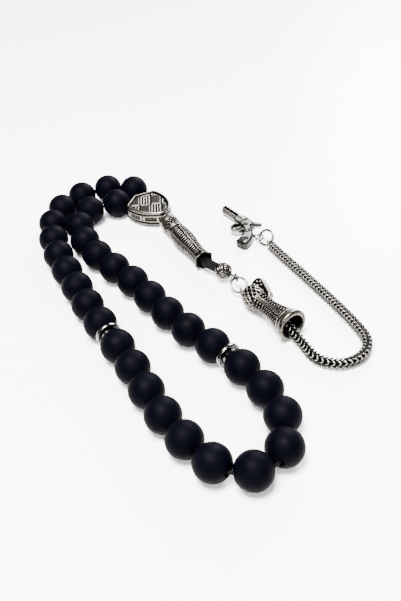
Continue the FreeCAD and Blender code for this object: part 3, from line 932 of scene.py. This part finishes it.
def bell_relief(height, angle):
    """Wicker bulb, a waist of paired scales between double rails, and two smooth rims."""
    share = angle / TURN
    u = share * BULB_HOLES + height / BULB_PITCH
    v = share * BULB_HOLES - height / BULB_PITCH
    wicker = np.maximum(ridge(saw(u), WICKER), ridge(saw(v), WICKER))
    side = saw(share * WAIST_SIDES) * 2
    rails = highest(*(ridge(side - at, WAIST_RAIL) for at in WAIST_RAILS))
    column = np.clip((side - SCALES_FROM) / (1 - SCALES_FROM), 0, 1)
    scale = np.hypot(saw(height / SCALE_PITCH) / 0.36, (column - 0.5) / 0.5)
    scales = ridge(scale, 0.9) * (side > SCALES_FROM + 0.02)
    waist = np.maximum(rails, scales)
    ring = ridge(height - BULB_END - 0.3, 0.3)
    level = np.where(height < BULB_END, wicker, np.where(height < WAIST_END, waist, 0))
    crown = ridge(height - 0.2, 0.6)
    rim = ridge(height - RIM_AT, 0.55)
    lip = np.clip((height - LIP_FROM) / 0.2, 0, 1) ** 0.5
    level = highest(level, ring * 0.9, crown, rim, lip)
    return BELL_DEPTH * (level - 1), level * np.where(height > LIP_FROM - 0.05, 0.88, 1.0)


def hull(circles, count=60):
    """Outline round circles given as (x, y, radius): the furthest point for each direction."""
    points = []
    for turn in np.arange(count) * TURN / count:
        way = np.array((math.cos(turn), math.sin(turn)))
        x, y, radius = max(circles, key=lambda circle: way @ circle[:2] + circle[2])
        points.append((x, y) + way * radius)
    return np.array(points)


def grain(form, place, at, radius):
    """Small round grain on a face."""
    polar = np.linspace(0.15, math.pi / 2, 5)
    skin = [(radius * math.cos(a), radius * math.sin(a)) for a in polar]
    lathe(form, Place(place.put(at), place.along), skin[::-1], [(radius, 0.02)], 12)


def make_scroll(form, place):
    """Scroll on the bell's side: a rolled border round a dark hollow that is full of grains."""
    head, tail = np.array(SCROLL_HEAD[:2]), np.array(SCROLL_TAIL[:2])
    edge = hull((SCROLL_HEAD, SCROLL_TAIL))
    flat = Place(place.origin, place.across, place.side)
    rounded_band(form, flat, edge * (1, -1), SCROLL_BORDER, SCROLL_T, 0.5)
    floor = SCROLL_T / 2 - SCROLL_SUNK
    for face in (1, -1):
        leaf = Place(place.origin, place.across * face, place.side)
        flip = np.array((1, -face))
        sunk = inset(anticlockwise(edge * flip), 0.25)
        cast_plate(form, leaf, sunk, floor, 0.1, 0.6, 0.0, centre=floor / 2)
        for x, y in disc(head, SCROLL_HEAD[2] - 1.15, SCROLL_GRAINS) * flip:
            grain(form, leaf, (x, y, floor - 0.05), 0.33)
        grain(form, leaf, (*(head * flip), floor - 0.05), 0.42)
        for share in SCROLL_TAIL_GRAINS:
            at = (head + (tail - head) * share) * flip
            grain(form, leaf, (*at, floor - 0.05), 0.34)


def make_bell():
    """Bell whose scroll stands out between its right side and its top."""
    top, along = joint_line("bell_spin")
    right = -unit(np.cross(along, UP))
    above = np.cross(along, right)
    above = above * (1 if above[2] > 0 else -1)
    side = unit(right + above)
    place = Place(top, along, side)
    skin = sampled(BELL_PROFILE, 0.1) + list(BELL_MOUTH[:-1])
    inner = [(height, radius - BELL_WALL) for height, radius in BELL_PROFILE[2:9]][::-1]
    bore = [BELL_MOUTH[-1]] + inner + [(1.0, BELL_HOLE), (0.0, BELL_HOLE)]
    form = Form()
    lathe(form, place, skin, bore, 240, bell_relief, bore_tone=0.12)
    make_scroll(form, place)
    form.piece("bell", "bell_cap", ANTIQUE, "antique_silver", "bell_cap")


# ---- charm -----------------------------------------------------------------------------


def inset(outline, amount):
    """A closed anticlockwise outline moved inwards by an amount."""
    before = outline - np.roll(outline, 1, axis=0)
    after = np.roll(outline, -1, axis=0) - outline
    normals = []
    for run in (before, after):
        run = units(run)
        normals.append(np.stack((-run[:, 1], run[:, 0]), axis=-1))
    middle = units(normals[0] + normals[1])
    stretch = np.maximum((middle * normals[0]).sum(axis=1), 0.5)
    return outline + middle * (amount / stretch)[:, None]


def anticlockwise(outline):
    """An outline's points in anticlockwise order."""
    outline = np.array(outline, float)
    following = np.roll(outline, -1, axis=0)
    area = (outline[:, 0] * following[:, 1] - outline[:, 1] * following[:, 0]).sum()
    return outline if area > 0 else outline[::-1]


def eased(outline, passes=2):
    """Outline with its corners cut again and again, which rounds them."""
    outline = np.array(outline, float)
    for _ in range(passes):
        after = np.roll(outline, -1, axis=0)
        cut = np.stack((outline * 0.8 + after * 0.2, outline * 0.2 + after * 0.8), axis=1)
        outline = cut.reshape(-1, 2)
    return outline


def cast_plate(form, place, outline, thickness, bevel, side_tone, face_tone=0.95, centre=0.0):
    """Flat casting with bevelled edges, its faces brighter than its sides."""
    outline = anticlockwise(outline)
    inner = inset(outline, bevel)
    half = thickness / 2
    rows, tones = [], []
    for edge, height, tone in (
        (inner, -half, face_tone), (outline, bevel - half, side_tone),
        (outline, half - bevel, side_tone), (inner, half, face_tone),
    ):
        rows.append(np.column_stack((edge, np.full(len(edge), height + centre))))
        tones += [tone] * len(edge)
    count = len(outline)
    faces = quads(4, count)
    faces += [tuple(range(count))[::-1], tuple(range(3 * count, 4 * count))]
    form.add(place.put(np.array(rows)), faces, tones)


def rounded_band(form, place, outline, width, depth, low=0.3):
    """Band with a rounded section that follows a closed outline, darker on its inner side."""
    outline = anticlockwise(outline)
    rows, tones = [], []
    for turn in np.arange(16) * TURN / 16:
        out, up = (math.copysign(abs(way) ** 0.6, way) for way in (math.cos(turn), math.sin(turn)))
        edge = inset(outline, width / 2 * (1 - out))
        rows.append(np.column_stack((edge, np.full(len(edge), depth / 2 * up))))
        tones.append(np.full(len(edge), low + (1 - low) * min(1.0, 0.8 + 0.8 * out)))
    form.add(place.put(np.array(rows)), quads(16, len(outline), join_rows=True), np.array(tones))


def engraved(form, place, outline, level, tone=0.0):
    """Thin mark on both faces of the charm, blackened unless it has a tone."""
    for side in (-1, 1):
        cast_plate(form, place, outline, 0.1, 0.03, tone, tone, centre=side * level)


def disc(at, radius, count=24):
    """Even points round a circle."""
    turns = np.arange(count) * TURN / count
    return np.stack((at[0] + radius * np.cos(turns), at[1] + radius * np.sin(turns)), axis=-1)


def barrel_relief(height, angle):
    """Barrel with one long blackened groove on each side, behind a plain muzzle ring."""
    radius = BARREL[3]
    groove = highest(
        ridge((angle - math.radians(BARREL_GROOVE)) * radius, 0.55),
        ridge((angle - math.radians(360 - BARREL_GROOVE)) * radius, 0.55),
    ) * ((height > GROOVE_SPAN[0]) & (height < GROOVE_SPAN[1]))
    return -0.45 * groove, 1 - 1.6 * groove


def drum_relief(height, angle):
    """Drum with flutes that start a little before its middle."""
    flute = ridge(saw(angle / TURN * DRUM_FLUTES), 0.26) * np.clip((height - 1.2) / 1.0, 0, 1)
    return -0.3 * flute, 1 - 1.1 * flute


def turned_part(form, place, line, axis, skin, bore, around, relief=None, bore_tone=0.1):
    """Part of the charm that is turned about a line towards the muzzle."""
    start, _, side, _ = line
    at = Place(place.put((start, side, 0.0)), *axis)
    lathe(form, at, skin, bore, around, relief, bore_tone)


def make_charm():
    """Revolver charm: a flat cast frame, turned parts, blackened marks and a hanging loop."""
    muzzle_way, trigger_way = heading(CHARM_HEADING), heading(CHARM_HEADING + 90)
    low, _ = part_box("pistol_charm")
    _, muzzle = reach("pistol_charm", np.zeros(3), muzzle_way)
    _, heel = reach("pistol_charm", np.zeros(3), trigger_way)
    origin = (
        muzzle_way * (muzzle - CHARM_MUZZLE) + trigger_way * (heel - CHARM_HEEL)
        + UP * (low.z / MM + CHARM_MIDDLE)
    )
    place = Place(origin, UP, muzzle_way)
    form = Form()
    outline = anticlockwise(eased(FRAME_OUTLINE))
    cast_plate(form, place, outline, FRAME_T - 0.1, 0.25, 0.7, 0.0)
    cast_plate(form, place, inset(outline, 0.55), FRAME_T + 0.1, 0.12, 0.3, 0.95)
    cast_plate(form, place, eased(HAMMER), 1.5, 0.3, 0.6)
    cast_plate(form, place, eased(TRIGGER), 1.0, 0.2, 0.6)
    rounded_band(form, place, disc(GUARD_AT, GUARD_R, 48), 0.85, 1.7)

    # Barrel, its ejector rod and the drum, turned about lines that run to the muzzle.
    axis = (muzzle_way, trigger_way)
    start, end, _, radius = BARREL
    length = end - start
    skin = [(h, radius) for h in np.linspace(0, length - 0.25, 60)] + [(length, radius - 0.2)]
    bore = ((length, BARREL_BORE), (length - 1.6, 0.7), (length - 1.7, 0.05), (0.0, 0.05))
    turned_part(form, place, BARREL, axis, skin, bore, 96, barrel_relief, 0.0)
    start, end, _, radius = ROD
    length = end - start
    skin = ((0, radius - 0.15), (0.15, radius), (length - 0.3, radius), (length, radius - 0.3))
    turned_part(form, place, ROD, axis, skin, ((length, 0.02), (0, 0.02)), 32)
    start, end, _, radius = DRUM
    length = end - start
    skin = [(h, radius) for h in np.linspace(0.15, length - 0.15, 30)]
    skin = [(0, radius - 0.15)] + skin + [(length, radius - 0.15)]
    turned_part(form, place, DRUM, axis, skin, ((length, 0.02), (0, 0.02)), 72, drum_relief)
    cast_plate(form, place, SIGHT, 0.7, 0.08, 0.1)

    # Marks: the seam behind the drum, a diamond, a circle and the grip's bow, with bright hearts.
    face = FRAME_T / 2 + 0.05
    engraved(form, place, SEAM, face)
    engraved(form, place, DIAMOND, face)
    engraved(form, place, disc((-2.7, 0.4), 0.22, 12), face + 0.05, 0.9)
    engraved(form, place, disc((-6.2, 2.4), 1.1), face)
    engraved(form, place, disc((-6.2, 2.4), 0.42), face + 0.05, 0.95)
    engraved(form, place, eased(BOW, 1), face)
    engraved(form, place, disc((-9.2, 6.5), 0.2, 12), face + 0.05, 0.9)

    # Dark studs on the butt's end.
    heel_wall = Place(place.put((*BUTT_END, 0.0)), -muzzle_way * 0.17 + trigger_way, UP)
    for side in (-0.6, 0.6):
        for along in (-0.7, 0.7):
            cast_plate(form, heel_wall, disc((side, along), BUTT_STUD, 14), 0.3, 0.05, 0.0, 0.0)

    # Hanging loop and its arm, with painted light and shade: lighter on top and darker underneath.
    link, _ = joint_line("charm_swing")
    arm_start = place.put((*ARM_FROM, 0.0))
    towards = unit((arm_start - link) * (1, 1, 0))
    arm_end = link + towards * CHARM_LOOP_R
    bend = (arm_start + arm_end) / 2 + UP * 0.05
    arm = nurbs_path((arm_start, bend, arm_end))
    wires(form, [arm], [np.broadcast_to(UP, arm.shape)], ARM_R, 12, 0.4, 1.0)
    loop_place = Place(link, UP, towards)
    loop = np.column_stack((disc((0.0, 0.0), CHARM_LOOP_R, 48), np.zeros(48)))
    upward = [np.broadcast_to(UP, loop.shape)]
    wires(form, [loop_place.put(loop)], upward, LOOP_WIRE, 12, 0.4, 1.0, closed=True)
    return form.piece(
        "revolver", "pistol_charm", CHARM_SILVER, "antique_silver", "pistol_charm", crease=38
    )


# ---- the rest --------------------------------------------------------------------------


def finish_cad_nodes():
    """Finishes of the CAD parts that stay: cords, pins, rings and links."""
    finishes = {
        "bead_cord": CORD, "hanger_cord": CORD, "ball_pin": POLISHED, "bell_pin": POLISHED,
        "jump_ring_1": POLISHED, "jump_ring_2": POLISHED, "chain_end_link": POLISHED,
        "chain_ferrule": CHAIN_SILVER,
    }
    for node, material in finishes.items():
        mesh = frame["nodes"][node].data
        mesh.materials.clear()
        mesh.materials.append(material)


def area_light(name, at, size, power, colour):
    """Rectangular light that faces the middle of the object."""
    data = bpy.data.lights.new(name, "AREA")
    data.shape = "RECTANGLE"
    data.size, data.size_y = size
    data.energy = power
    data.color = colour
    light = bpy.data.objects.new(name, data)
    light.location = at
    facing = Vector(LIGHT_TARGET) - Vector(at)
    light.rotation_euler = facing.to_track_quat("-Z", "Y").to_euler()
    bpy.context.scene.collection.objects.link(light)


def make_studio():
    """White table, a soft light overhead, a window behind on the right, a faint fill in front
    and pale walls."""
    mesh = bpy.data.meshes.new("table")
    corners = [(x * TABLE_HALF, y * TABLE_HALF, 0) for x, y in ((-1, -1), (1, -1), (1, 1), (-1, 1))]
    mesh.from_pydata(corners, [], [(0, 1, 2, 3)])
    mesh.materials.append(table_top())
    table = bpy.data.objects.new("table", mesh)
    bpy.context.scene.collection.objects.link(table)
    for light in LIGHTS:
        area_light(*light)
    world = bpy.data.worlds.new("studio")
    world.use_nodes = True
    background = world.node_tree.nodes["Background"]
    background.inputs["Color"].default_value = WALLS
    background.inputs["Strength"].default_value = WALLS_STRENGTH
    bpy.context.scene.world = world


def main():
    make_camera()
    top, along = joint_line("bell_spin")
    chain, path = make_chain(top, along)
    make_beads()
    make_spacers()
    make_shield()
    make_tail()
    make_knots()
    make_bell()
    charm = make_charm()
    finish_cad_nodes()
    make_studio()


main()
